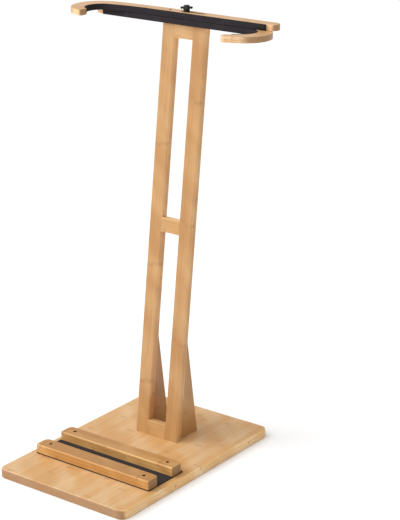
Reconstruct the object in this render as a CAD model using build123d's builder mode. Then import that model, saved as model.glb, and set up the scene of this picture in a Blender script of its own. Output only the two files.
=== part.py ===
from build123d import *
from math import cos, radians, sin, tan
import os

os.makedirs("parts", exist_ok=True)

# Floor stand for a board, millimetres. The origin is the middle of the base's underside,
# the board leans towards +Y and the stand's front is at -Y.

# Base plate
BASE_X, BASE_Y, BASE_T = 400, 600, 24
BASE_CORNER = 20
BASE_EDGE = 4

# Rails, the slot between them and the mat under both
RAIL_LENGTH, RAIL_WIDTH, RAIL_HEIGHT = 363, 42, 23
FRONT_RAIL_Y, REAR_RAIL_Y = -158, -65
MAT_T = 3
RAIL_SCREW_SPACING = 300

# Upright, a leaning ladder of two stiles and three rungs
LEAN = 6.85
UPRIGHT_FRONT_Y = 78
UPRIGHT_WIDTH = 131
UPRIGHT_T = 21
STILE_WIDTH = 37
UPRIGHT_TOP = 1079
MIDDLE_RUNG = (539, 575)
BOTTOM_RUNG_TOP = 38.5
TOP_RUNG_BOTTOM = 1028

# Tapered brace behind each stile
BRACE_T = 28
BRACE_FOOT_Y = 175
BRACE_TOP = 296
BRACE_BACK_SLOPE = 0.15

# Hooked arms, drawn pushed fully in, with the clamp stud at the origin and the hook at -X
ARM_T, ARM_WIDTH = 15, 32
ARM_EDGE = 1
SLOT_TRAVEL = 64
SPARE_HOLE_X = -38
UPPER_ARM_OUT = 12
PAD_T = 6
SLIDE_GAP = 0.3

# Each side of a hook: circle centre, radius, slow bend before it, turn at its end, straight after it
UPPER_OUTSIDE = ((-210, -65), 72, 6, 178, 0)
UPPER_INSIDE = ((-200, -70), 43, 12, 164, 0)
UPPER_FOAM = ((-200, -70), 43, 12, 140, 0)
LOWER_OUTSIDE = ((-217, -56), 64, 6, 158, 51)
LOWER_INSIDE = ((-205, -55), 38, 4, 143, 44)
LOWER_FOAM = ((-205, -55), 38, 4, 143, 26)

# For each arm: its outside, inside, foam, straight end, the foam's end on the bar, the tip's corner
UPPER_ARM = (UPPER_OUTSIDE, UPPER_INSIDE, UPPER_FOAM, 285, 260, 8)
LOWER_ARM = (LOWER_OUTSIDE, LOWER_INSIDE, LOWER_FOAM, 280, 250, 10)

# Clamp
STUD_R = 4
STUD_SLOT_CLEARANCE = 0.3
STUD_BOTTOM = 1060
INSERT_LENGTH, INSERT_HOLE_DEPTH = 18, 26
WASHER_R, WASHER_T, WASHER_CLEARANCE = 8, 1.5, 0.2
TURN_GAP = 0.2
KNOB_HEIGHT = 14.5
KNOB_PHASE = 37
THREAD_CLEARANCE = 0.1

# Fasteners
DOWEL_R, DOWEL_DEPTH, DOWEL_CHAMFER = 4, 20, 0.8
GLUE_GAP = 0.05
HOLE_SPARE_DEPTH = 1
LONG_SCREW_R, LONG_SCREW_HEAD_R, LONG_SCREW_HEAD_T = 3, 6, 4
LONG_SCREW_RECESS, LONG_SCREW_RECESS_R = 6, 6.5
LONG_SCREW_POINT = 2
HEX_SOCKET_R, HEX_SOCKET_DEPTH = 2.3, 2.5

HALF_WIDTH = UPRIGHT_WIDTH / 2
WINDOW_HALF = HALF_WIDTH - STILE_WIDTH
STILE_X = HALF_WIDTH - STILE_WIDTH / 2
LEVEL_T = UPRIGHT_T / cos(radians(LEAN))
RAIL_BOTTOM = BASE_T + MAT_T
RAIL_TOP = RAIL_BOTTOM + RAIL_HEIGHT


def front_y(z):
    """Y of the upright's front face at height z."""
    return UPRIGHT_FRONT_Y + (z - BASE_T) * tan(radians(LEAN))


def leaning(s, depth):
    """(Y, Z) of the point at distance s up the front face and depth behind it."""
    y = UPRIGHT_FRONT_Y + s * sin(radians(LEAN)) + depth * cos(radians(LEAN))
    z = BASE_T + s * cos(radians(LEAN)) - depth * sin(radians(LEAN))
    return y, z


STUD_Y = front_y(UPRIGHT_TOP) + LEVEL_T / 2
LEAN_AXIS = Axis((0, 0, 0), (0, sin(radians(LEAN)), cos(radians(LEAN))))
BACKWARDS = (0, cos(radians(LEAN)), -sin(radians(LEAN)))

# Where the long screws come up through the base: into the stiles, the bottom rung and the braces
STILE_SCREW_X = HALF_WIDTH - 8.5
STILE_SCREW_Y = UPRIGHT_FRONT_Y + LEVEL_T / 2 + 2
STILE_SCREW_TOP, RUNG_SCREW_TOP, BRACE_SCREW_TOP = 66, 52, 62
BRACE_SCREW_Y = 145
LONG_SCREWS = [
    (-STILE_SCREW_X, STILE_SCREW_Y, STILE_SCREW_TOP),
    (STILE_SCREW_X, STILE_SCREW_Y, STILE_SCREW_TOP),
    (0, STILE_SCREW_Y, RUNG_SCREW_TOP),
    (-STILE_X, BRACE_SCREW_Y, BRACE_SCREW_TOP),
    (STILE_X, BRACE_SCREW_Y, BRACE_SCREW_TOP),
]
RAIL_SCREW_POINTS = [
    (side * RAIL_SCREW_SPACING / 2, y)
    for y in (FRONT_RAIL_Y, REAR_RAIL_Y)
    for side in (-1, 1)
]
RAIL_SCREW_R, RAIL_SCREW_CLEARANCE = 2, 0.3
RAIL_SCREW_HEAD_R, RAIL_SCREW_HEAD_T, RAIL_SCREW_HEAD_EDGE = 3.8, 2.8, 1.6
RAIL_SCREW_RECESS_R = 4.2
RAIL_SCREW_SEAT = RAIL_TOP - 9
RAIL_SCREW_POINT = BASE_T - 14
RAIL_SCREW_POINT_CHAMFER = 1.8
CROSS_LENGTH, CROSS_WIDTH, CROSS_DEPTH = 4, 0.9, 1.6

# Heights up the front face of each rung's two dowels
RUNG_DOWELS = (12, 29, MIDDLE_RUNG[0] + 9, MIDDLE_RUNG[1] - 9, TOP_RUNG_BOTTOM + 9, TOP_RUNG_BOTTOM + 26)
BRACE_DOWELS = (52, 150)
BRACE_DOWEL_IN_STILE, BRACE_DOWEL_IN_BRACE = 12, 18


# Base plate: a flat panel, bored from below for the long screws and from above for the rail screws
with BuildPart() as base_plate:
    with BuildSketch():
        RectangleRounded(BASE_X, BASE_Y, BASE_CORNER)
    extrude(amount=BASE_T)
    rims = base_plate.edges().group_by(Axis.Z)
    fillet(rims[0] + rims[-1], BASE_EDGE)
    with Locations(Plane((0, 0, 0), x_dir=(1, 0, 0), z_dir=(0, 0, -1))):
        with Locations(*[(x, -y) for x, y, top in LONG_SCREWS]):
            CounterBoreHole(LONG_SCREW_R + GLUE_GAP, LONG_SCREW_RECESS_R, LONG_SCREW_RECESS)
    with BuildSketch(Plane.XY.offset(BASE_T)):
        with Locations(*RAIL_SCREW_POINTS):
            Circle(RAIL_SCREW_R + GLUE_GAP)
    extrude(amount=RAIL_SCREW_POINT - BASE_T - HOLE_SPARE_DEPTH, mode=Mode.SUBTRACT)
base_plate.part.label = "base_plate"
export_step(base_plate.part, "parts/base_plate.step")

# Rubber mat: one thin sheet under both rails
MAT_FRONT = FRONT_RAIL_Y - RAIL_WIDTH / 2
MAT_BACK = REAR_RAIL_Y + RAIL_WIDTH / 2
MAT_CORNER = 3
with BuildPart() as rail_mat:
    with BuildSketch(Plane.XY.offset(BASE_T)):
        with Locations((0, (MAT_FRONT + MAT_BACK) / 2)):
            RectangleRounded(RAIL_LENGTH, MAT_BACK - MAT_FRONT, MAT_CORNER)
        with Locations(*RAIL_SCREW_POINTS):
            Circle(RAIL_SCREW_R + RAIL_SCREW_CLEARANCE, mode=Mode.SUBTRACT)
    extrude(amount=MAT_T)
rail_mat.part.label = "rail_mat"
export_step(rail_mat.part, "parts/rail_mat.step")

# Rails: battens with large rounded corners at the back, small ones in front and softened top edges
RAIL_BACK_CORNER, RAIL_FRONT_CORNER, RAIL_TOP_EDGE = 14, 4, 3
for rail_y, rail_name in ((FRONT_RAIL_Y, "front_rail"), (REAR_RAIL_Y, "rear_rail")):
    with BuildPart() as rail:
        with BuildSketch(Plane.XY.offset(RAIL_BOTTOM)):
            with Locations((0, rail_y)):
                Rectangle(RAIL_LENGTH, RAIL_WIDTH)
        extrude(amount=RAIL_HEIGHT)
        corners = rail.edges().filter_by(Axis.Z).group_by(Axis.Y)
        fillet(corners[-1], RAIL_BACK_CORNER)
        corners = rail.edges().filter_by(Axis.Z).group_by(Axis.Y)
        fillet(corners[0], RAIL_FRONT_CORNER)
        fillet(rail.faces().sort_by(Axis.Z)[-1].edges(), RAIL_TOP_EDGE)
        with Locations(rail.faces().sort_by(Axis.Z)[-1]):
            with GridLocations(RAIL_SCREW_SPACING, 1, 2, 1):
                CounterBoreHole(
                    RAIL_SCREW_R + RAIL_SCREW_CLEARANCE, RAIL_SCREW_RECESS_R, RAIL_TOP - RAIL_SCREW_SEAT
                )
    rail.part.label = rail_name
    export_step(rail.part, f"parts/{rail_name}.step")

# Rail screws: pan heads with a cross recess, sunk deep in the rails, points in the base
with BuildPart() as rail_screws:
    with BuildSketch(Plane.XY.offset(RAIL_SCREW_SEAT)):
        with Locations(*RAIL_SCREW_POINTS):
            Circle(RAIL_SCREW_HEAD_R)
    extrude(amount=RAIL_SCREW_HEAD_T)
    fillet(rail_screws.edges().group_by(Axis.Z)[-1], RAIL_SCREW_HEAD_EDGE)
    with BuildSketch(Plane.XY.offset(RAIL_SCREW_SEAT + RAIL_SCREW_HEAD_T)):
        with Locations(*RAIL_SCREW_POINTS):
            Rectangle(CROSS_LENGTH, CROSS_WIDTH)
            Rectangle(CROSS_WIDTH, CROSS_LENGTH)
    extrude(amount=-CROSS_DEPTH, mode=Mode.SUBTRACT)
    with BuildSketch(Plane.XY.offset(RAIL_SCREW_POINT)):
        with Locations(*RAIL_SCREW_POINTS):
            Circle(RAIL_SCREW_R)
    extrude(amount=RAIL_SCREW_SEAT - RAIL_SCREW_POINT)
    chamfer(rail_screws.edges().group_by(Axis.Z)[0], RAIL_SCREW_POINT_CHAMFER)
rail_screws.part.label = "rail_screws"
export_step(rail_screws.part, "parts/rail_screws.step")

# Stiles: leaning legs, cut level at foot and top, bored for the dowels and the long screws
LONG_EDGE_OUTER, LONG_EDGE_INNER = 2, 0.8
for side, stile_name in ((-1, "left_stile"), (1, "right_stile")):
    with BuildPart() as stile:
        with BuildSketch(Plane.YZ.offset(side * STILE_X)):
            with BuildLine():
                Polyline(
                    (front_y(BASE_T), BASE_T),
                    (front_y(BASE_T) + LEVEL_T, BASE_T),
                    (front_y(UPRIGHT_TOP) + LEVEL_T, UPRIGHT_TOP),
                    (front_y(UPRIGHT_TOP), UPRIGHT_TOP),
                    close=True,
                )
            make_face()
        extrude(amount=STILE_WIDTH / 2, both=True)
        outside = Axis.X if side > 0 else -Axis.X
        fillet(stile.edges().filter_by(LEAN_AXIS).group_by(outside)[-1], LONG_EDGE_OUTER)
        fillet(stile.edges().filter_by(LEAN_AXIS).group_by(outside)[0], LONG_EDGE_INNER)
        with BuildSketch(Plane.YZ.offset(side * WINDOW_HALF)):
            with Locations(*[leaning(s, UPRIGHT_T / 2) for s in RUNG_DOWELS]):
                Circle(DOWEL_R + GLUE_GAP)
        extrude(amount=side * (DOWEL_DEPTH + HOLE_SPARE_DEPTH), mode=Mode.SUBTRACT)
        for s in BRACE_DOWELS:
            back_y, back_z = leaning(s, UPRIGHT_T)
            with BuildSketch(Plane((side * STILE_X, back_y, back_z), x_dir=(1, 0, 0), z_dir=BACKWARDS)):
                Circle(DOWEL_R + GLUE_GAP)
            extrude(amount=-BRACE_DOWEL_IN_STILE - HOLE_SPARE_DEPTH, mode=Mode.SUBTRACT)
        with BuildSketch(Plane.XY.offset(BASE_T)):
            with Locations((side * STILE_SCREW_X, STILE_SCREW_Y)):
                Circle(LONG_SCREW_R + GLUE_GAP)
        extrude(amount=STILE_SCREW_TOP - BASE_T + HOLE_SPARE_DEPTH, mode=Mode.SUBTRACT)
    stile.part.label = stile_name
    export_step(stile.part, f"parts/{stile_name}.step")

# Rungs: cross members as thick as the stiles. The bottom and top ones are cut level with the stiles
RUNG_SIDES = {
    "bottom_rung": [
        (front_y(BASE_T), BASE_T),
        (front_y(BASE_T) + LEVEL_T, BASE_T),
        leaning(BOTTOM_RUNG_TOP, UPRIGHT_T),
        leaning(BOTTOM_RUNG_TOP, 0),
    ],
    "middle_rung": [
        leaning(MIDDLE_RUNG[0], 0),
        leaning(MIDDLE_RUNG[0], UPRIGHT_T),
        leaning(MIDDLE_RUNG[1], UPRIGHT_T),
        leaning(MIDDLE_RUNG[1], 0),
    ],
    "top_rung": [
        leaning(TOP_RUNG_BOTTOM, 0),
        leaning(TOP_RUNG_BOTTOM, UPRIGHT_T),
        (front_y(UPRIGHT_TOP) + LEVEL_T, UPRIGHT_TOP),
        (front_y(UPRIGHT_TOP), UPRIGHT_TOP),
    ],
}
INSERT_R, INSERT_FLANGE_R, INSERT_FLANGE_T = 6, 7.5, 1.5
RUNG_CHAMFER = 0.6
for rung_number, (rung_name, side_outline) in enumerate(RUNG_SIDES.items()):
    with BuildPart() as rung:
        with BuildSketch(Plane.YZ):
            with BuildLine():
                Polyline(*side_outline, close=True)
            make_face()
        extrude(amount=WINDOW_HALF, both=True)
        chamfer(rung.edges().filter_by(Axis.X), RUNG_CHAMFER)
        for end in (-1, 1):
            with BuildSketch(Plane.YZ.offset(end * WINDOW_HALF)):
                own_dowels = RUNG_DOWELS[2 * rung_number:2 * rung_number + 2]
                with Locations(*[leaning(s, UPRIGHT_T / 2) for s in own_dowels]):
                    Circle(DOWEL_R + GLUE_GAP)
            extrude(amount=-end * (DOWEL_DEPTH + HOLE_SPARE_DEPTH), mode=Mode.SUBTRACT)
        if rung_name == "bottom_rung":
            with BuildSketch(Plane.XY.offset(BASE_T)):
                with Locations((0, STILE_SCREW_Y)):
                    Circle(LONG_SCREW_R + GLUE_GAP)
            extrude(amount=RUNG_SCREW_TOP - BASE_T + HOLE_SPARE_DEPTH, mode=Mode.SUBTRACT)
        if rung_name == "top_rung":
            with Locations((0, STUD_Y, UPRIGHT_TOP)):
                CounterBoreHole(
                    INSERT_R + GLUE_GAP, INSERT_FLANGE_R + GLUE_GAP, INSERT_FLANGE_T, depth=INSERT_HOLE_DEPTH
                )
    rung.part.label = rung_name
    export_step(rung.part, f"parts/{rung_name}.step")

# Rung dowels: twelve glued pins across the joints of the ladder
with BuildPart() as rung_dowels:
    for end in (-1, 1):
        with BuildSketch(Plane.YZ.offset(end * WINDOW_HALF)):
            with Locations(*[leaning(s, UPRIGHT_T / 2) for s in RUNG_DOWELS]):
                Circle(DOWEL_R)
        extrude(amount=DOWEL_DEPTH, both=True)
    chamfer(rung_dowels.edges().filter_by(GeomType.CIRCLE), DOWEL_CHAMFER)
rung_dowels.part.label = "rung_dowels"
export_step(rung_dowels.part, "parts/rung_dowels.step")

# Braces: tapered plates, glued and dowelled to the backs of the stiles
BRACE_EDGE = 1.5
for side, brace_name in ((-1, "left_brace"), (1, "right_brace")):
    with BuildPart() as brace:
        with BuildSketch(Plane.YZ.offset(side * STILE_X)):
            with BuildLine():
                Polyline(
                    (front_y(BASE_T) + LEVEL_T, BASE_T),
                    (BRACE_FOOT_Y, BASE_T),
                    (BRACE_FOOT_Y - (BRACE_TOP - BASE_T) * BRACE_BACK_SLOPE, BRACE_TOP),
                    (front_y(BRACE_TOP) + LEVEL_T, BRACE_TOP),
                    close=True,
                )
            make_face()
        extrude(amount=BRACE_T / 2, both=True)
        fillet(brace.faces().sort_by(Axis.Y)[-1].edges().filter_by(Axis.X, reverse=True), BRACE_EDGE)
        for s in BRACE_DOWELS:
            back_y, back_z = leaning(s, UPRIGHT_T)
            with BuildSketch(Plane((side * STILE_X, back_y, back_z), x_dir=(1, 0, 0), z_dir=BACKWARDS)):
                Circle(DOWEL_R + GLUE_GAP)
            extrude(amount=BRACE_DOWEL_IN_BRACE + HOLE_SPARE_DEPTH, mode=Mode.SUBTRACT)
        with BuildSketch(Plane.XY.offset(BASE_T)):
            with Locations((side * STILE_X, BRACE_SCREW_Y)):
                Circle(LONG_SCREW_R + GLUE_GAP)
        extrude(amount=BRACE_SCREW_TOP - BASE_T + HOLE_SPARE_DEPTH, mode=Mode.SUBTRACT)
    brace.part.label = brace_name
    export_step(brace.part, f"parts/{brace_name}.step")

# Brace dowels: two glued pins behind each stile, square to its back face
with BuildPart() as brace_dowels:
    for side in (-1, 1):
        for s in BRACE_DOWELS:
            start_y, start_z = leaning(s, UPRIGHT_T - BRACE_DOWEL_IN_STILE)
            with BuildSketch(Plane((side * STILE_X, start_y, start_z), x_dir=(1, 0, 0), z_dir=BACKWARDS)):
                Circle(DOWEL_R)
            extrude(amount=BRACE_DOWEL_IN_STILE + BRACE_DOWEL_IN_BRACE)
    chamfer(brace_dowels.edges().filter_by(GeomType.CIRCLE), DOWEL_CHAMFER)
brace_dowels.part.label = "brace_dowels"
export_step(brace_dowels.part, "parts/brace_dowels.step")

# Upright screws: long flat-headed screws with a hexagon socket, sunk in the base's underside
with BuildPart() as upright_screws:
    for x, y, top in LONG_SCREWS:
        with BuildSketch(Plane.XY.offset(LONG_SCREW_RECESS - LONG_SCREW_HEAD_T)):
            with Locations((x, y)):
                Circle(LONG_SCREW_HEAD_R)
        extrude(amount=LONG_SCREW_HEAD_T)
        with BuildSketch(Plane.XY.offset(LONG_SCREW_RECESS - LONG_SCREW_HEAD_T)):
            with Locations((x, y)):
                RegularPolygon(HEX_SOCKET_R, 6)
        extrude(amount=HEX_SOCKET_DEPTH, mode=Mode.SUBTRACT)
        with BuildSketch(Plane.XY.offset(LONG_SCREW_RECESS)):
            with Locations((x, y)):
                Circle(LONG_SCREW_R)
        extrude(amount=top - LONG_SCREW_RECESS)
    screw_points = upright_screws.edges().filter_by_position(Axis.Z, BASE_T + 1, UPRIGHT_TOP)
    chamfer(screw_points.filter_by(GeomType.CIRCLE), LONG_SCREW_POINT)
upright_screws.part.label = "upright_screws"
export_step(upright_screws.part, "parts/upright_screws.step")


# Arms: flat plates with a hook at one end. The lower one is drawn turned over, hook at +X
def side_of_hook(side, level, inset):
    """One side of a hook: slow bend, round, straight. level is its bar line's Y, inset shrinks it."""
    centre, radius, bend, turn, straight = side
    slope = radians(bend)
    bend_r = (level - centre[1] - radius * cos(slope)) / (1 - cos(slope))
    start = (centre[0] + (bend_r - radius) * sin(slope), level - inset)
    bend_arc = JernArc(start, (-1, 0), bend_r - inset, bend)
    round_arc = JernArc(bend_arc @ 1, bend_arc % 1, radius - inset, turn - bend)
    tip = round_arc @ 1
    if straight:
        tip = Line(tip, tip + (round_arc % 1) * straight) @ 1
    return start, tip


def arm_outline(outside, inside, straight_end):
    """Closed outline of the plate: straight bar, half-round end, hook. Gives the middle of its tip."""
    half = ARM_WIDTH / 2
    end_x = straight_end - half
    back, outer_tip = side_of_hook(outside, half, 0)
    front, inner_tip = side_of_hook(inside, -half, 0)
    Line(back, (end_x, half))
    ThreePointArc((end_x, half), (straight_end, 0), (end_x, -half))
    Line((end_x, -half), front)
    return Line(inner_tip, outer_tip) @ 0.5


def pad_outline(foam, pad_end):
    """Closed outline of the foam strip along the bar's front edge and round inside the hook."""
    wood = -ARM_WIDTH / 2
    front, wood_tip = side_of_hook(foam, wood, 0)
    foam_front, foam_tip = side_of_hook(foam, wood, PAD_T)
    Line(front, (pad_end, wood))
    Line((pad_end, wood), (pad_end, wood - PAD_T))
    Line((pad_end, wood - PAD_T), foam_front)
    Line(wood_tip, foam_tip)


def arm_plane(bottom, shift, turned_over):
    """Plane to draw an arm on: it faces up, or down for the arm that is turned over."""
    if turned_over:
        return Plane((shift, STUD_Y, bottom + ARM_T), x_dir=(-1, 0, 0), z_dir=(0, 0, -1))
    return Plane((shift, STUD_Y, bottom), x_dir=(1, 0, 0), z_dir=(0, 0, 1))


LOWER_ARM_BOTTOM = UPRIGHT_TOP + SLIDE_GAP
UPPER_ARM_BOTTOM = LOWER_ARM_BOTTOM + ARM_T + SLIDE_GAP
UPPER_ARM_TOP = UPPER_ARM_BOTTOM + ARM_T
ARMS = (
    ("lower_arm", LOWER_ARM, arm_plane(LOWER_ARM_BOTTOM, 0, True)),
    ("upper_arm", UPPER_ARM, arm_plane(UPPER_ARM_BOTTOM, -UPPER_ARM_OUT, False)),
)
for arm_name, (outside, inside, foam, straight_end, pad_end, tip_corner), plane in ARMS:
    with BuildPart() as arm:
        with BuildSketch(plane):
            with BuildLine():
                tip = arm_outline(outside, inside, straight_end)
            make_face()
            fillet(vertices().sort_by_distance(tip)[:2], tip_corner)
        extrude(amount=ARM_T)
        rims = arm.edges().group_by(Axis.Z)
        fillet(rims[0] + rims[-1], ARM_EDGE)
        with BuildSketch(plane):
            with Locations((SLOT_TRAVEL / 2, 0)):
                SlotCenterToCenter(SLOT_TRAVEL, 2 * (STUD_R + STUD_SLOT_CLEARANCE))
            with Locations((SPARE_HOLE_X, 0)):
                Circle(STUD_R + STUD_SLOT_CLEARANCE)
        extrude(amount=ARM_T, mode=Mode.SUBTRACT)
    arm.part.label = arm_name
    export_step(arm.part, f"parts/{arm_name}.step")

    with BuildPart() as pad:
        with BuildSketch(plane):
            with BuildLine():
                pad_outline(foam, pad_end)
            make_face()
        extrude(amount=ARM_T)
    pad.part.label = f"{arm_name}_pad"
    export_step(pad.part, f"parts/{arm_name}_pad.step")

# Insert nut: flanged threaded bush, sunk flush in the top rung
with BuildPart() as insert_nut:
    with BuildSketch(Plane.XY.offset(UPRIGHT_TOP)):
        with Locations((0, STUD_Y)):
            Circle(INSERT_FLANGE_R)
    extrude(amount=-INSERT_FLANGE_T)
    with BuildSketch(Plane.XY.offset(UPRIGHT_TOP)):
        with Locations((0, STUD_Y)):
            Circle(INSERT_R)
    extrude(amount=-INSERT_LENGTH)
    with BuildSketch(Plane.XY.offset(UPRIGHT_TOP)):
        with Locations((0, STUD_Y)):
            Circle(STUD_R + THREAD_CLEARANCE)
    extrude(amount=-INSERT_LENGTH, mode=Mode.SUBTRACT)
insert_nut.part.label = "insert_nut"
export_step(insert_nut.part, "parts/insert_nut.step")

# Clamp stud: stands in the insert nut, through both arms' slots and into the knob
WASHER_BOTTOM = UPPER_ARM_TOP + SLIDE_GAP
KNOB_BOTTOM = WASHER_BOTTOM + WASHER_T + TURN_GAP
STUD_IN_KNOB, STUD_CHAMFER, WASHER_CHAMFER = 9, 0.8, 0.3
STUD_TOP = KNOB_BOTTOM + STUD_IN_KNOB
with BuildPart() as clamp_stud:
    with BuildSketch(Plane.XY.offset(STUD_BOTTOM)):
        with Locations((0, STUD_Y)):
            Circle(STUD_R)
    extrude(amount=STUD_TOP - STUD_BOTTOM)
    chamfer(clamp_stud.edges().filter_by(GeomType.CIRCLE), STUD_CHAMFER)
clamp_stud.part.label = "clamp_stud"
export_step(clamp_stud.part, "parts/clamp_stud.step")

# Clamp washer: flat disc between the knob and the upper arm
with BuildPart() as clamp_washer:
    with BuildSketch(Plane.XY.offset(WASHER_BOTTOM)):
        with Locations((0, STUD_Y)):
            Circle(WASHER_R)
            Circle(STUD_R + WASHER_CLEARANCE, mode=Mode.SUBTRACT)
    extrude(amount=WASHER_T)
    chamfer(clamp_washer.edges().filter_by(GeomType.CIRCLE).group_by(SortBy.RADIUS)[-1], WASHER_CHAMFER)
clamp_washer.part.label = "clamp_washer"
export_step(clamp_washer.part, "parts/clamp_washer.step")

# Knob: barrel-shaped hub with four short lobes, bored blind for its bush
HUB_FOOT_R, HUB_WAIST_R, HUB_TOP_R, HUB_TOP_EDGE = 6.8, 8.3, 6.6, 1.5
HUB_WAIST_Z = 7.5
LOBE_REACH, LOBE_R, LOBE_NECK_R, LOBE_Z = 12, 3.3, 2.2, 8.2
BUSH_R, BUSH_DEPTH, BUSH_SHORT = 5.4, 10.5, 0.1
with BuildPart() as knob:
    with BuildSketch(Plane((0, STUD_Y, KNOB_BOTTOM), x_dir=(1, 0, 0), z_dir=(0, -1, 0))):
        with BuildLine():
            Polyline((HUB_TOP_R, KNOB_HEIGHT), (0, KNOB_HEIGHT), (0, 0), (HUB_FOOT_R, 0))
            ThreePointArc((HUB_FOOT_R, 0), (HUB_WAIST_R, HUB_WAIST_Z), (HUB_TOP_R, KNOB_HEIGHT))
        make_face()
    revolve(axis=Axis((0, STUD_Y, 0), (0, 0, 1)))
    fillet(knob.edges().group_by(Axis.Z)[-1], HUB_TOP_EDGE)
    with Locations((0, STUD_Y, KNOB_BOTTOM + LOBE_Z)):
        with PolarLocations(LOBE_REACH, 4, start_angle=KNOB_PHASE):
            Sphere(LOBE_R)
        with PolarLocations(LOBE_REACH / 2, 4, start_angle=KNOB_PHASE):
            Cylinder(LOBE_NECK_R, LOBE_REACH, rotation=(0, 90, 0))
    with BuildSketch(Plane((0, STUD_Y, KNOB_BOTTOM))):
        Circle(BUSH_R + GLUE_GAP)
    extrude(amount=BUSH_DEPTH, mode=Mode.SUBTRACT)
knob.part.label = "knob"
export_step(knob.part, "parts/knob.step")

# Knob bush: threaded sleeve moulded into the knob
with BuildPart() as knob_bush:
    with BuildSketch(Plane((0, STUD_Y, KNOB_BOTTOM))):
        Circle(BUSH_R)
        Circle(STUD_R + THREAD_CLEARANCE, mode=Mode.SUBTRACT)
    extrude(amount=BUSH_DEPTH - BUSH_SHORT)
knob_bush.part.label = "knob_bush"
export_step(knob_bush.part, "parts/knob_bush.step")
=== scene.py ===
from math import atan2, cos, pi, radians, sin
import bpy
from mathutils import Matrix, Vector


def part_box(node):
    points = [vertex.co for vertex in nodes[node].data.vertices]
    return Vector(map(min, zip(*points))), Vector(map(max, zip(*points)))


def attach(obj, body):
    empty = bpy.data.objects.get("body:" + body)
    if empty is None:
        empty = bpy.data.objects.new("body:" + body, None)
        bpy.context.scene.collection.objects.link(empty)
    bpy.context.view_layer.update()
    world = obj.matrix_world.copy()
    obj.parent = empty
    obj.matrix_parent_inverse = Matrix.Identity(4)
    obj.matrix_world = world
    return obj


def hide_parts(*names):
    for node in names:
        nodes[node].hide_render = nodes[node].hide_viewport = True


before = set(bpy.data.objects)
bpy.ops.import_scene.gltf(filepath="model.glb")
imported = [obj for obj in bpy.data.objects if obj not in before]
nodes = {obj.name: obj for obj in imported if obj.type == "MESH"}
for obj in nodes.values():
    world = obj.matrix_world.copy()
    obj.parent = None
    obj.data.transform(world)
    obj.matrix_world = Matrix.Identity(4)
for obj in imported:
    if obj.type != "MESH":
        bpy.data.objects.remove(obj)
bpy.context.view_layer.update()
scene = bpy.context.scene


# ---------------------------------------------------------------------------------------------
# Camera. A long lens, three quarters from the front and the right, looking a little down on
# the base. The small shift frames the tall stand left of centre.
# ---------------------------------------------------------------------------------------------
CAMERA_PLACE = (2.4926, -3.0566, 1.8703)
CAMERA_AZIMUTH, CAMERA_ELEVATION = 36.74, 18.27
camera_data = bpy.data.cameras.new("camera")
camera_data.lens = 117.4
camera_data.sensor_width = 36
camera_data.shift_x = -0.006
camera_data.shift_y = -0.0313
camera = bpy.data.objects.new("camera", camera_data)
camera.location = CAMERA_PLACE
camera.rotation_euler = (radians(90 - CAMERA_ELEVATION), 0, radians(CAMERA_AZIMUTH))
scene.collection.objects.link(camera)
scene.camera = camera


# ---------------------------------------------------------------------------------------------
# Studio. A pale floor, an even surround, a broad soft light from above and a little from the
# front left, and one large soft lamp high on the left.
# ---------------------------------------------------------------------------------------------
def new_finish(name):
    """A new material, with its node tree and its shader."""
    finish = bpy.data.materials.new(name)
    finish.use_nodes = True
    return finish, finish.node_tree, finish.node_tree.nodes["Principled BSDF"]


scene.view_settings.view_transform = "Standard"
bpy.ops.object.select_all(action="DESELECT")
bpy.ops.mesh.primitive_plane_add(size=400)
floor = bpy.context.object
floor.name = "floor"
floor_finish, _, floor_shader = new_finish("floor_paper")
floor_shader.inputs["Base Color"].default_value = (0.95, 0.95, 0.95, 1)
floor_shader.inputs["Roughness"].default_value = 0.9
floor_shader.inputs["Specular IOR Level"].default_value = 0.1
floor.data.materials.append(floor_finish)

surround = bpy.data.worlds.new("surround")
surround.use_nodes = True
surround.node_tree.nodes["Background"].inputs["Color"].default_value = (1, 1, 1, 1)
surround.node_tree.nodes["Background"].inputs["Strength"].default_value = 0.55
scene.world = surround


def soft_lamp(name, place, aim, size, power):
    """A square soft lamp at a place, turned to face a point."""
    lamp_data = bpy.data.lights.new(name, "AREA")
    lamp_data.shape = "SQUARE"
    lamp_data.size = size
    lamp_data.energy = power
    lamp = bpy.data.objects.new(name, lamp_data)
    lamp.location = place
    lamp.rotation_euler = (Vector(aim) - Vector(place)).to_track_quat("-Z", "Y").to_euler()
    scene.collection.objects.link(lamp)


soft_lamp("key_lamp", (-2.4, -1.9, 2.3), (0, 0, 0.5), 1.6, 45)

overhead_data = bpy.data.lights.new("overhead", "SUN")
overhead_data.energy = 1.9
overhead_data.angle = radians(75)
overhead = bpy.data.objects.new("overhead", overhead_data)
overhead.rotation_euler = Vector((0.30, 0.45, -0.85)).to_track_quat("-Z", "Y").to_euler()
scene.collection.objects.link(overhead)


# ---------------------------------------------------------------------------------------------
# Base plate. A panel of flat-pressed bamboo: strips about 20 mm wide laid front to back, in
# three layers, glued, sanded round at the rim and finished in satin lacquer.
# ---------------------------------------------------------------------------------------------
def wire(tree, kind, **settings):
    """A new shader node with its settings."""
    node = tree.nodes.new(kind)
    for key, value in settings.items():
        setattr(node, key, value)
    return node


def maths(tree, operation, first, second=None, third=None):
    """The output of a Math node on values or sockets."""
    node = tree.nodes.new("ShaderNodeMath")
    node.operation = operation
    for slot, value in zip(node.inputs, (first, second, third)):
        if value is None:
            continue
        if isinstance(value, (int, float)):
            slot.default_value = value
        else:
            tree.links.new(value, slot)
    return node.outputs[0]


def combined(tree, x, y, z):
    """A vector from three values or sockets."""
    node = tree.nodes.new("ShaderNodeCombineXYZ")
    for slot, value in zip(node.inputs, (x, y, z)):
        if isinstance(value, (int, float)):
            slot.default_value = value
        else:
            tree.links.new(value, slot)
    return node.outputs[0]


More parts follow.
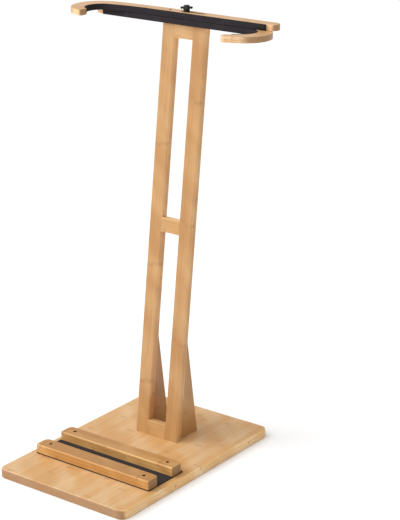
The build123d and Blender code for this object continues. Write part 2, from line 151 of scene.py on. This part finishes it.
def blended(tree, factor, first, second, mode="MIX"):
    """The colour of a Mix node between two colours or sockets."""
    node = tree.nodes.new("ShaderNodeMix")
    node.data_type = "RGBA"
    node.blend_type = mode
    for slot, value in zip((node.inputs[0], node.inputs[6], node.inputs[7]), (factor, first, second)):
        if isinstance(value, (int, float, tuple)):
            slot.default_value = value
        else:
            tree.links.new(value, slot)
    return node.outputs[2]


def noise(tree, vector, scale, detail=2.0, roughness=0.5):
    """The value of a Noise Texture at a vector socket."""
    node = tree.nodes.new("ShaderNodeTexNoise")
    node.inputs["Scale"].default_value = scale
    node.inputs["Detail"].default_value = detail
    node.inputs["Roughness"].default_value = roughness
    tree.links.new(vector, node.inputs["Vector"])
    return node.outputs["Fac"]


def stepped(tree, value, low, high):
    """A smooth step from 0 at low to 1 at high."""
    node = tree.nodes.new("ShaderNodeMapRange")
    node.interpolation_type = "SMOOTHSTEP"
    node.inputs["From Min"].default_value = low
    node.inputs["From Max"].default_value = high
    tree.links.new(value, node.inputs["Value"])
    return node.outputs["Result"]


def bumped(tree, height, strength, distance):
    """Bumps the tree's shader by a height socket. distance is the relief in metres."""
    bump = wire(tree, "ShaderNodeBump")
    bump.inputs["Strength"].default_value = strength
    bump.inputs["Distance"].default_value = distance
    tree.links.new(height, bump.inputs["Height"])
    tree.links.new(bump.outputs[0], tree.nodes["Principled BSDF"].inputs["Normal"])


JOINT_PITCH = 0.31
BUNDLES_PER_METRE = 55
STRIP_GLUE, LAYER_GLUE = 0.0002, 0.0005


def bamboo(name, tones, grain, strips, layers, seed, lean=0.0, foot=(0, 0, 0), bores=()):
    """Laminated bamboo. tones are its pale, warm and dark colours. grain is the axis letter of the
    strips' length. strips and layers are (axis letter, low, high, count) across the board's width
    and its thickness. A leaning board is measured in axes turned about X at its foot. bores are
    upright holes and slots, (x, y, half the slot's length, radius), whose walls get painted shade, near
    black."""
    pale, warm, dark = tones
    finish, tree, shader = new_finish(name)
    surface = wire(tree, "ShaderNodeTexCoord")
    place = surface.outputs["Object"]
    upright = wire(tree, "ShaderNodeVectorRotate", rotation_type="X_AXIS")
    upright.inputs["Center"].default_value = foot
    upright.inputs["Angle"].default_value = lean
    tree.links.new(place, upright.inputs["Vector"])
    axes = wire(tree, "ShaderNodeSeparateXYZ")
    tree.links.new(upright.outputs[0], axes.inputs[0])
    facing = wire(tree, "ShaderNodeSeparateXYZ")
    tree.links.new(surface.outputs["Normal"], facing.inputs[0])
    length = axes.outputs[grain]

    def cell(letter, low, high, count):
        """Which strip a point is in, counted with a fraction, clear of the board's own faces."""
        skin = 0.0003
        shifted = maths(tree, "SUBTRACT", axes.outputs[letter], low - skin)
        return maths(tree, "MULTIPLY", shifted, count / (high - low + 2 * skin))

    across = cell(*strips)
    deep = cell(*layers)
    strip = maths(tree, "FLOOR", across)
    layer = maths(tree, "FLOOR", deep)
    dice = wire(tree, "ShaderNodeTexWhiteNoise", noise_dimensions="3D")
    stick = combined(tree, maths(tree, "ADD", strip, seed), layer, seed * 0.37)
    tree.links.new(stick, dice.inputs["Vector"])
    dice_axes = wire(tree, "ShaderNodeSeparateColor")
    tree.links.new(dice.outputs["Color"], dice_axes.inputs[0])

    # Joints of the cane: one every 0.3 m or so on each strip, at its own place
    start = maths(tree, "MULTIPLY", dice_axes.outputs[0], JOINT_PITCH)
    wander = noise(tree, combined(tree, strip, maths(tree, "MULTIPLY", across, 3.0), layer), 1.0)
    start = maths(tree, "MULTIPLY_ADD", wander, 0.006, start)
    turns = maths(tree, "DIVIDE", maths(tree, "ADD", length, start), JOINT_PITCH)
    off_joint = maths(tree, "ABSOLUTE", maths(tree, "SUBTRACT", maths(tree, "FRACT", turns), 0.5))
    off_joint = maths(tree, "MULTIPLY", off_joint, JOINT_PITCH)
    joint = maths(tree, "SUBTRACT", 1.0, stepped(tree, off_joint, 0.0015, 0.007))

    # Fibres: very long and thin, a fine set, a coarse set and broad patches
    shift = maths(tree, "MULTIPLY", dice_axes.outputs[1], 7.0)
    long_place = maths(tree, "ADD", length, shift)

    def fibres(along, aside, detail, roughness):
        """Noise drawn out along the grain. along and aside are its scales."""
        drawn_out = combined(tree, maths(tree, "MULTIPLY", long_place, along),
                             maths(tree, "MULTIPLY", across, fibre_spread(strips) * aside),
                             maths(tree, "MULTIPLY", deep, fibre_spread(layers) * aside))
        return noise(tree, drawn_out, 1.0, detail, roughness)

    fine = fibres(18.0, 16.0, 3.0, 0.6)
    coarse = fibres(5.0, 3.5, 2.0, 0.5)
    cloud_place = combined(tree, maths(tree, "MULTIPLY", length, 4.0), axes_sum(tree, axes), seed)
    cloud = noise(tree, cloud_place, 1.6, 1.0)

    # Colour: pale and warm strips and patches, brown flecks at the joints, thin glue lines
    warmth = maths(tree, "MULTIPLY_ADD", dice_axes.outputs[2], 0.28, maths(tree, "MULTIPLY", cloud, 1.15))
    colour = blended(tree, stepped(tree, warmth, 0.45, 0.95), pale, warm)
    colour = blended(tree, maths(tree, "MULTIPLY", stepped(tree, coarse, 0.46, 0.68), 0.22), colour, dark)
    colour = blended(tree, maths(tree, "MULTIPLY", stepped(tree, fine, 0.46, 0.68), 0.34), colour, dark)
    fleck = maths(tree, "MULTIPLY", joint, stepped(tree, fine, 0.35, 0.65))
    colour = blended(tree, maths(tree, "MULTIPLY", fleck, 0.75), colour, dark)
    strip_seam, layer_seam = seam(tree, across, strips, STRIP_GLUE), seam(tree, deep, layers, LAYER_GLUE)
    glue = maths(tree, "MAXIMUM", strip_seam, layer_seam)
    colour = blended(tree, maths(tree, "MULTIPLY", glue, 0.55), colour, dark)

    # End grain: browner, and dotted with the cut ends of the fibres
    cut = stepped(tree, maths(tree, "ABSOLUTE", facing.outputs[grain]), 0.25, 0.75)
    dots = noise(tree, place, 1500.0, 1.0)
    end_pale, end_dark = [tuple(share * part for part in dark[:3]) + (1,) for share in (0.95, 0.55)]
    end_tone = blended(tree, stepped(tree, dots, 0.4, 0.65), end_pale, end_dark)
    colour = blended(tree, maths(tree, "MULTIPLY", cut, 0.88), colour, end_tone)
    walls = maths(tree, "SUBTRACT", 1.0, maths(tree, "ABSOLUTE", facing.outputs["Z"]))
    # Bores: painted shade, near black, on the walls of each hole and slot
    for x, y, half_slot, radius in bores:
        along = maths(tree, "ABSOLUTE", maths(tree, "SUBTRACT", axes.outputs["X"], x))
        along = maths(tree, "MAXIMUM", maths(tree, "SUBTRACT", along, half_slot), 0.0)
        aside = maths(tree, "SUBTRACT", axes.outputs["Y"], y)
        aside_squared = maths(tree, "MULTIPLY", aside, aside)
        gap = maths(tree, "SQRT", maths(tree, "MULTIPLY_ADD", along, along, aside_squared))
        near = maths(tree, "SUBTRACT", 1.0, stepped(tree, gap, radius + 0.0001, radius + 0.0006))
        painted_bore_shade = maths(tree, "MULTIPLY", near, stepped(tree, walls, 0.2, 0.7))
        colour = blended(tree, maths(tree, "MULTIPLY", painted_bore_shade, 0.93), colour, (0.03, 0.016, 0.008, 1))
    tree.links.new(colour, shader.inputs["Base Color"])

    # Satin lacquer over open grain
    tree.links.new(maths(tree, "MULTIPLY_ADD", fine, 0.22, 0.32), shader.inputs["Roughness"])
    height = maths(tree, "ADD", maths(tree, "MULTIPLY", fine, 0.35), maths(tree, "MULTIPLY", glue, -0.6))
    height = maths(tree, "ADD", height, maths(tree, "MULTIPLY", joint, 0.4))
    bumped(tree, height, 0.25, 0.0003)
    shader.inputs["Coat Weight"].default_value = 0.12
    shader.inputs["Coat Roughness"].default_value = 0.3
    return finish


def fibre_spread(strips):
    """How many times wider one strip is than a coarse fibre bundle of 18 mm."""
    letter, low, high, count = strips
    return (high - low) / count * BUNDLES_PER_METRE


def axes_sum(tree, axes):
    """A value that changes slowly in every direction, for broad patches of tone."""
    x_and_y = maths(tree, "ADD", axes.outputs["X"], axes.outputs["Y"])
    return maths(tree, "MULTIPLY", maths(tree, "ADD", x_and_y, axes.outputs["Z"]), 7.0)


def seam(tree, cells, strips, half_width):
    """1 on the glue line between two strips, 0 elsewhere."""
    letter, low, high, count = strips
    off = maths(tree, "ABSOLUTE", maths(tree, "SUBTRACT", maths(tree, "FRACT", cells), 0.5))
    line = half_width * count / (high - low)
    return stepped(tree, off, 0.5 - 1.5 * line, 0.5 - 0.5 * line)


def dress(node, finish):
    """Gives a carried-over piece its finish."""
    mesh = nodes[node].data
    mesh.materials.clear()
    mesh.materials.append(finish)


def span(node, letter, count):
    """A strips or layers tuple for a whole node along one axis."""
    low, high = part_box(node)
    axis = "XYZ".index(letter)
    return (letter, low[axis], high[axis], count)


BASE_TONES = (1.0, 0.74, 0.41, 1), (0.84, 0.50, 0.185, 1), (0.40, 0.19, 0.07, 1)
BASE_STRIPS, BASE_LAYERS = 18, 3
base_strips, base_layers = span("base_plate", "X", BASE_STRIPS), span("base_plate", "Z", BASE_LAYERS)
dress("base_plate", bamboo("bamboo_base", BASE_TONES, "Y", base_strips, base_layers, 3.1))


# ---------------------------------------------------------------------------------------------
# Rails. Two bamboo battens with their strips lengthwise, each held by two screws sunk deep in
# drilled recesses. The recess walls carry painted shade, near black.
# ---------------------------------------------------------------------------------------------
RAIL_TONES = (0.78, 0.45, 0.16, 1), (0.58, 0.28, 0.075, 1), (0.30, 0.14, 0.04, 1)
RAIL_RECESS_RADIUS = 0.0042
RAIL_SCREW_OUT = 0.15
for rail, seed in (("front_rail", 11.3), ("rear_rail", 17.9)):
    rail_low, rail_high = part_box(rail)
    middle = (rail_low[1] + rail_high[1]) / 2
    recesses = [(side * RAIL_SCREW_OUT, middle, 0.0, RAIL_RECESS_RADIUS) for side in (-1, 1)]
    rail_strips, rail_layers = span(rail, "Y", 2), span(rail, "Z", 3)
    dress(rail, bamboo("bamboo_" + rail, RAIL_TONES, "X", rail_strips, rail_layers, seed, bores=recesses))


# ---------------------------------------------------------------------------------------------
# Rail screws. Pan heads with a cross recess, steel with an oily black oxide finish that has
# worn a little where the driver turned them.
# ---------------------------------------------------------------------------------------------
def metal(name, colour, worn, roughness, metallic, grain):
    """Metal with a speckled tone, a varied gloss and fine tool marks. grain is marks per metre."""
    finish, tree, shader = new_finish(name)
    place = wire(tree, "ShaderNodeTexCoord").outputs["Object"]
    speckle = noise(tree, place, grain, 4.0, 0.65)
    patch = noise(tree, place, grain * 0.12, 2.0)
    tone = blended(tree, stepped(tree, speckle, 0.5, 0.8), colour, worn)
    tone = blended(tree, maths(tree, "MULTIPLY", patch, 0.5), tone, colour)
    tree.links.new(tone, shader.inputs["Base Color"])
    tree.links.new(maths(tree, "MULTIPLY_ADD", speckle, 0.25, roughness), shader.inputs["Roughness"])
    shader.inputs["Metallic"].default_value = metallic
    bumped(tree, speckle, 0.3, 0.00008)
    return finish


black_oxide = metal("black_oxide", (0.012, 0.012, 0.013, 1), (0.06, 0.055, 0.05, 1), 0.32, 0.6, 1400)
dress("rail_screws", black_oxide)


# ---------------------------------------------------------------------------------------------
# Rail mat. A thin sheet of black rubber under both rails, moulded with fine ribs from front to
# back so that a wet board doesn't slide. The rib crests are painted lighter and the grooves
# darker: painted highlight and shade across the ribs.
# ---------------------------------------------------------------------------------------------
RIB_PITCH = 0.0026
mat_finish, mat_tree, mat_shader = new_finish("ribbed_rubber")
mat_place = wire(mat_tree, "ShaderNodeTexCoord").outputs["Object"]
mat_axes = wire(mat_tree, "ShaderNodeSeparateXYZ")
mat_tree.links.new(mat_place, mat_axes.inputs[0])
rib = maths(mat_tree, "SINE", maths(mat_tree, "MULTIPLY", mat_axes.outputs["X"], 2 * pi / RIB_PITCH))
rib = stepped(mat_tree, rib, -0.6, 0.7)
dust = noise(mat_tree, mat_place, 900.0, 4.0, 0.7)
smudge = noise(mat_tree, mat_place, 22.0, 3.0)
# Painted highlight on the rib crests and painted shade in the grooves
mat_tone = blended(mat_tree, rib, (0.011, 0.011, 0.012, 1), (0.030, 0.029, 0.032, 1))
dusty = maths(mat_tree, "MULTIPLY", stepped(mat_tree, dust, 0.55, 0.8), smudge)
mat_tone = blended(mat_tree, maths(mat_tree, "MULTIPLY", dusty, 0.35), mat_tone, (0.11, 0.10, 0.095, 1))
mat_tree.links.new(mat_tone, mat_shader.inputs["Base Color"])
mat_tree.links.new(maths(mat_tree, "MULTIPLY_ADD", smudge, 0.3, 0.5), mat_shader.inputs["Roughness"])
mat_shader.inputs["Specular IOR Level"].default_value = 0.3
bumped(mat_tree, maths(mat_tree, "MULTIPLY_ADD", dust, 0.12, rib), 0.6, 0.0005)
dress("rail_mat", mat_finish)


# ---------------------------------------------------------------------------------------------
# Upright. Two leaning stiles and three rungs of bamboo board, two layers thick, and a tapered
# brace behind each stile. All are glued and dowelled, then lacquered.
# ---------------------------------------------------------------------------------------------
UPRIGHT_TONES = (0.80, 0.48, 0.20, 1), (0.60, 0.30, 0.095, 1), (0.34, 0.16, 0.05, 1)
LEAN = radians(6.85)
UPRIGHT_T = 0.021
base_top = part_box("base_plate")[1][2]
upright_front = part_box("left_stile")[0][1]
foot = (0, upright_front, base_top)
depth = ("Y", upright_front, upright_front + UPRIGHT_T, 2)
for stile, seed in (("left_stile", 23.7), ("right_stile", 29.2)):
    halves = span(stile, "X", 2)
    dress(stile, bamboo("bamboo_" + stile, UPRIGHT_TONES, "Z", halves, depth, seed, LEAN, foot))
RUNG_TONES = (0.96, 0.63, 0.29, 1), (0.76, 0.43, 0.16, 1), (0.36, 0.18, 0.06, 1)
for rung, seed in (("bottom_rung", 31.4), ("middle_rung", 37.6), ("top_rung", 41.8)):
    rung_low, rung_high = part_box(rung)
    height = ("Z", rung_low[2], rung_high[2], 2)
    dress(rung, bamboo("bamboo_" + rung, RUNG_TONES, "X", height, depth, seed, LEAN, foot))
for brace, seed in (("left_brace", 43.3), ("right_brace", 47.1)):
    brace_strips, brace_layers = span(brace, "Y", 4), span(brace, "X", 4)
    dress(brace, bamboo("bamboo_" + brace, UPRIGHT_TONES, "Z", brace_strips, brace_layers, seed))


# ---------------------------------------------------------------------------------------------
# Dowels. Turned beech pins, glued across the joints of the ladder and behind the stiles, where
# they are hidden.
# ---------------------------------------------------------------------------------------------
def turned_beech(name, stretch):
    """Beech with short rays and a fine grain. stretch is the noise scale along each axis."""
    finish, tree, shader = new_finish(name)
    turn = wire(tree, "ShaderNodeMapping")
    turn.inputs["Scale"].default_value = stretch
    tree.links.new(wire(tree, "ShaderNodeTexCoord").outputs["Object"], turn.inputs["Vector"])
    rays = noise(tree, turn.outputs[0], 1.0, 3.0, 0.6)
    tone = blended(tree, stepped(tree, rays, 0.35, 0.7), (0.62, 0.42, 0.25, 1), (0.42, 0.25, 0.13, 1))
    tree.links.new(tone, shader.inputs["Base Color"])
    tree.links.new(maths(tree, "MULTIPLY_ADD", rays, 0.2, 0.5), shader.inputs["Roughness"])
    bumped(tree, rays, 0.3, 0.0001)
    return finish


dress("rung_dowels", turned_beech("beech_across", (90, 1500, 1500)))
dress("brace_dowels", turned_beech("beech_back", (1500, 90, 1500)))


# ---------------------------------------------------------------------------------------------
# Zinc and brass. Long socket screws under the base, the insert nut and the clamp stud are zinc
# plated steel; the knob's bush is turned brass. The stud shows its coarse thread.
# ---------------------------------------------------------------------------------------------
zinc = metal("zinc_plate", (0.58, 0.59, 0.60, 1), (0.40, 0.40, 0.41, 1), 0.25, 1.0, 900)
dress("upright_screws", zinc)
dress("insert_nut", zinc)
dress("knob_bush", metal("turned_brass", (0.72, 0.52, 0.22, 1), (0.50, 0.34, 0.13, 1), 0.22, 1.0, 1200))

THREAD_PITCH = 0.00125
stud_low, stud_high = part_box("clamp_stud")
stud_y = (stud_low[1] + stud_high[1]) / 2
threaded = metal("zinc_thread", (0.52, 0.53, 0.54, 1), (0.34, 0.34, 0.35, 1), 0.28, 1.0, 900)
thread_tree = threaded.node_tree
thread_axes = wire(thread_tree, "ShaderNodeSeparateXYZ")
thread_tree.links.new(wire(thread_tree, "ShaderNodeTexCoord").outputs["Object"], thread_axes.inputs[0])
off_axis = maths(thread_tree, "SUBTRACT", thread_axes.outputs["Y"], stud_y)
around = maths(thread_tree, "ARCTAN2", off_axis, thread_axes.outputs["X"])
climb = maths(thread_tree, "MULTIPLY_ADD", thread_axes.outputs["Z"], 2 * pi / THREAD_PITCH, around)
bumped(thread_tree, maths(thread_tree, "SINE", climb), 0.9, 0.0004)
dress("clamp_stud", threaded)


# ---------------------------------------------------------------------------------------------
# Arms. Two flat hooked plates of bamboo, two layers thick, strips along the arm. Each has a
# slot for the clamp stud and one spare hole, their walls with painted shade, near black. The lower
# arm is the same kind of plate turned over.
# ---------------------------------------------------------------------------------------------
ARM_TONES = (1.0, 0.70, 0.41, 1), (0.86, 0.52, 0.25, 1), (0.40, 0.20, 0.075, 1)
ARM_HALF_WIDTH = 0.016
HALF_SLOT, BORE_RADIUS, SPARE_HOLE = 0.032, 0.0043, 0.038
UPPER_ARM_OUT = 0.012
HOOK_REACH, ARM_STRIPS = 0.126, 8
arm_strips = ("Y", stud_y - ARM_HALF_WIDTH - HOOK_REACH, stud_y + ARM_HALF_WIDTH + 0.002, ARM_STRIPS)
for arm, out, side, seed in (("lower_arm", 0.0, 1, 53.9), ("upper_arm", UPPER_ARM_OUT, -1, 59.5)):
    slot = (side * (out - HALF_SLOT), stud_y, HALF_SLOT, BORE_RADIUS)
    spare = (side * (out + SPARE_HOLE), stud_y, 0.0, BORE_RADIUS)
    arm_layers = span(arm, "Z", 2)
    dress(arm, bamboo("bamboo_" + arm, ARM_TONES, "X", arm_strips, arm_layers, seed, bores=(slot, spare)))


# ---------------------------------------------------------------------------------------------
# Foam strips. Self-adhesive closed-cell foam, 6 mm thick, stuck along the front edge of each
# arm and bent round inside its hook. The cut edges are softly rounded.
# ---------------------------------------------------------------------------------------------
FOAM_T = 0.006
FOAM_EDGE = 0.0016


def foam_strip(arm, place_x, hook, bar_end, finish):
    """A foam strip for one arm, drawn along the bar, then spun through the slow bend and the
    hook. place_x turns the distance along the arm, hook end negative, into X. hook is (centre,
    radius, bend, turn, straight) of the wood it is stuck to."""
    (centre_x, centre_y), radius, bend, turn, straight = hook
    low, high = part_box(arm + "_pad")
    wood = -ARM_HALF_WIDTH
    bend_radius = (wood - centre_y - radius * cos(bend)) / (1 - cos(bend))
    bend_x = centre_x + (bend_radius - radius) * sin(bend)
    side = 1 if place_x(1) > place_x(0) else -1
    bpy.ops.object.select_all(action="DESELECT")
    middle = (place_x(bar_end), stud_y + wood - FOAM_T / 2, (low[2] + high[2]) / 2)
    bpy.ops.mesh.primitive_plane_add(size=1, location=middle, rotation=(0, pi / 2, 0))
    strip = bpy.context.object
    strip.scale = (high[2] - low[2], FOAM_T, 1)
    bpy.ops.object.transform_apply(location=True, rotation=True, scale=True)
    bpy.ops.object.mode_set(mode="EDIT")
    bpy.ops.mesh.select_all(action="SELECT")
    run = place_x(bend_x) - place_x(bar_end)
    bpy.ops.mesh.extrude_region_move(TRANSFORM_OT_translate={"value": (run, 0, 0)})
    bend_centre = (place_x(bend_x), stud_y + wood - bend_radius, 0)
    bpy.ops.mesh.spin(steps=6, angle=-side * bend, center=bend_centre, axis=(0, 0, 1))
    hook_centre = (place_x(centre_x), stud_y + centre_y, 0)
    bpy.ops.mesh.spin(steps=36, angle=-side * (turn - bend), center=hook_centre, axis=(0, 0, 1))
    if straight:
        onward = (-side * straight * cos(turn), -straight * sin(turn), 0)
        bpy.ops.mesh.extrude_region_move(TRANSFORM_OT_translate={"value": onward})
    bpy.ops.mesh.select_all(action="SELECT")
    bpy.ops.mesh.remove_doubles(threshold=0.00001)
    bpy.ops.mesh.normals_make_consistent(inside=False)
    bpy.ops.object.mode_set(mode="OBJECT")
    rounded = strip.modifiers.new("rounded", "BEVEL")
    rounded.width = FOAM_EDGE
    rounded.segments = 4
    rounded.limit_method = "ANGLE"
    rounded.angle_limit = radians(50)
    bpy.ops.object.modifier_apply(modifier="rounded")
    bpy.ops.object.shade_smooth_by_angle(angle=radians(35))
    bpy.ops.object.transform_apply(location=True, rotation=True, scale=True)
    strip.name = arm + "_foam"
    strip.data.materials.append(finish)
    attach(strip, arm)
    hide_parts(arm + "_pad")


foam_finish, foam_tree, foam_shader = new_finish("closed_cell_foam")
foam_place = wire(foam_tree, "ShaderNodeTexCoord").outputs["Object"]
cells = noise(foam_tree, foam_place, 1600.0, 3.0, 0.7)
skin = noise(foam_tree, foam_place, 55.0, 3.0)
foam_tone = blended(foam_tree, cells, (0.012, 0.008, 0.0105, 1), (0.024, 0.018, 0.0215, 1))
chalky = maths(foam_tree, "MULTIPLY", stepped(foam_tree, skin, 0.5, 0.75), 0.35)
foam_tone = blended(foam_tree, chalky, foam_tone, (0.042, 0.035, 0.040, 1))
foam_tree.links.new(foam_tone, foam_shader.inputs["Base Color"])
foam_tree.links.new(maths(foam_tree, "MULTIPLY_ADD", cells, 0.2, 0.65), foam_shader.inputs["Roughness"])
foam_shader.inputs["Specular IOR Level"].default_value = 0.2
bumped(foam_tree, maths(foam_tree, "MULTIPLY_ADD", skin, 1.5, cells), 0.5, 0.0003)

UPPER_HOOK = (-0.200, -0.070), 0.043, radians(12), radians(140), 0.0
LOWER_HOOK = (-0.205, -0.055), 0.038, radians(4), radians(143), 0.026
UPPER_BAR_END, LOWER_BAR_END = 0.260, 0.250
foam_strip("upper_arm", lambda u: u - UPPER_ARM_OUT, UPPER_HOOK, UPPER_BAR_END, foam_finish)
foam_strip("lower_arm", lambda u: -u, LOWER_HOOK, LOWER_BAR_END, foam_finish)


# ---------------------------------------------------------------------------------------------
# Clamp washer. A flat black steel disc under the knob.
# ---------------------------------------------------------------------------------------------
dress("clamp_washer", black_oxide)


# ---------------------------------------------------------------------------------------------
# Knob. A black moulded hand knob: a barrel hub with upright ribs, four short arms with balls
# at their ends, and a blind bore for the brass bush. Its hard corners are softened in the mould.
# ---------------------------------------------------------------------------------------------
KNOB_RINGS = ((0.0000, 0.0066), (0.0008, 0.0070), (0.0035, 0.0077), (0.0075, 0.0081), (0.0110, 0.0077),
              (0.0132, 0.0070), (0.0142, 0.0060), (0.0145, 0.0048))
KNOB_SIDES = 64
LOBE_REACH, LOBE_RADIUS, LOBE_HEIGHT, LOBE_PHASE = 0.012, 0.0033, 0.0082, radians(37)
NECK_MIDDLE, NECK_LENGTH, NECK_ROOT_RADIUS, NECK_TIP_RADIUS = 0.0088, 0.006, 0.0029, 0.0022
RIB_PROUD, RIB_FOOT, RIB_TOP = 1.07, 0.0006, 0.0136
BUSH_RADIUS, BUSH_DEPTH = 0.0054, 0.0105
knob_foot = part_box("knob")[0][2]
axis_point = (0, stud_y, 0)
bpy.ops.object.select_all(action="DESELECT")
bpy.ops.mesh.primitive_circle_add(vertices=KNOB_SIDES, radius=KNOB_RINGS[0][1], fill_type="NGON",
                                  location=(0, stud_y, knob_foot))
hub = bpy.context.object
bpy.ops.object.transform_apply(location=True, rotation=True, scale=True)
bpy.ops.object.mode_set(mode="EDIT")
bpy.ops.mesh.select_mode(type="VERT")
bpy.ops.mesh.select_all(action="SELECT")
for (z_before, r_before), (z_now, r_now) in zip(KNOB_RINGS, KNOB_RINGS[1:]):
    bpy.ops.mesh.extrude_region_move(TRANSFORM_OT_translate={"value": (0, 0, z_now - z_before)})
    grow = r_now / r_before
    bpy.ops.transform.resize(value=(grow, grow, 1), center_override=axis_point)
bpy.ops.mesh.select_all(action="SELECT")
bpy.ops.mesh.normals_make_consistent(inside=False)
bpy.ops.mesh.select_all(action="DESELECT")
bpy.ops.object.mode_set(mode="OBJECT")

# Ribs: two columns out of every four stand proud on the barrel
for corner in hub.data.vertices:
    column = round(atan2(corner.co.y - stud_y, corner.co.x) / (2 * pi) * KNOB_SIDES) % 4
    up = corner.co.z - knob_foot
    corner.select = column < 2 and RIB_FOOT < up < RIB_TOP
bpy.ops.object.mode_set(mode="EDIT")
bpy.ops.transform.resize(value=(RIB_PROUD, RIB_PROUD, 1), center_override=axis_point)

# Bore: the foot's flat is inset to the bush's radius and pushed up
bpy.ops.mesh.select_mode(type="FACE")
bpy.ops.mesh.select_all(action="DESELECT")
bpy.ops.object.mode_set(mode="OBJECT")
for face in hub.data.polygons:
    face.select = face.normal.z < -0.9 and face.center.z < knob_foot + 0.0003
bpy.ops.object.mode_set(mode="EDIT")
bpy.ops.mesh.inset(thickness=KNOB_RINGS[0][1] - BUSH_RADIUS, use_boundary=True)
bpy.ops.mesh.extrude_region_move(TRANSFORM_OT_translate={"value": (0, 0, BUSH_DEPTH)})
bpy.ops.object.mode_set(mode="OBJECT")

# Lobes: a tapered neck and a ball, made once and turned round the hub
lobes = []
for quarter in range(4):
    turn = LOBE_PHASE + quarter * pi / 2
    outward = Vector((cos(turn), sin(turn), 0))
    level = Vector((0, stud_y, knob_foot + LOBE_HEIGHT))
    bpy.ops.object.select_all(action="DESELECT")
    bpy.ops.mesh.primitive_uv_sphere_add(segments=24, ring_count=16, radius=LOBE_RADIUS,
                                         location=level + outward * LOBE_REACH)
    lobes.append(bpy.context.object)
    bpy.ops.object.select_all(action="DESELECT")
    bpy.ops.mesh.primitive_cone_add(vertices=24, radius1=NECK_ROOT_RADIUS, radius2=NECK_TIP_RADIUS,
                                    depth=NECK_LENGTH, location=level + outward * NECK_MIDDLE,
                                    rotation=outward.to_track_quat("Z", "Y").to_euler())
    lobes.append(bpy.context.object)
for lobe in lobes:
    lobe.select_set(True)
hub.select_set(True)
bpy.context.view_layer.objects.active = hub
bpy.ops.object.join()
knob_piece = bpy.context.object
bpy.ops.object.transform_apply(location=True, rotation=True, scale=True)
moulded = knob_piece.modifiers.new("moulded", "REMESH")
moulded.mode = "VOXEL"
moulded.voxel_size = 0.00028
bpy.ops.object.modifier_apply(modifier="moulded")
softened = knob_piece.modifiers.new("softened", "SMOOTH")
softened.factor = 0.5
softened.iterations = 4
bpy.ops.object.modifier_apply(modifier="softened")
bpy.ops.object.shade_smooth()
knob_piece.name = "hand_knob"

knob_finish, knob_tree, knob_shader = new_finish("black_moulding")
knob_place = wire(knob_tree, "ShaderNodeTexCoord").outputs["Object"]
pebble = noise(knob_tree, knob_place, 2200.0, 2.0)
handled = noise(knob_tree, knob_place, 160.0, 3.0)
knob_tone = blended(knob_tree, pebble, (0.010, 0.010, 0.011, 1), (0.020, 0.020, 0.021, 1))
knob_tree.links.new(knob_tone, knob_shader.inputs["Base Color"])
knob_tree.links.new(maths(knob_tree, "MULTIPLY_ADD", handled, 0.3, 0.35), knob_shader.inputs["Roughness"])
knob_shader.inputs["Specular IOR Level"].default_value = 0.35
bumped(knob_tree, pebble, 0.35, 0.00008)
knob_piece.data.materials.clear()
knob_piece.data.materials.append(knob_finish)
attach(knob_piece, "knob")
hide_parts("knob")
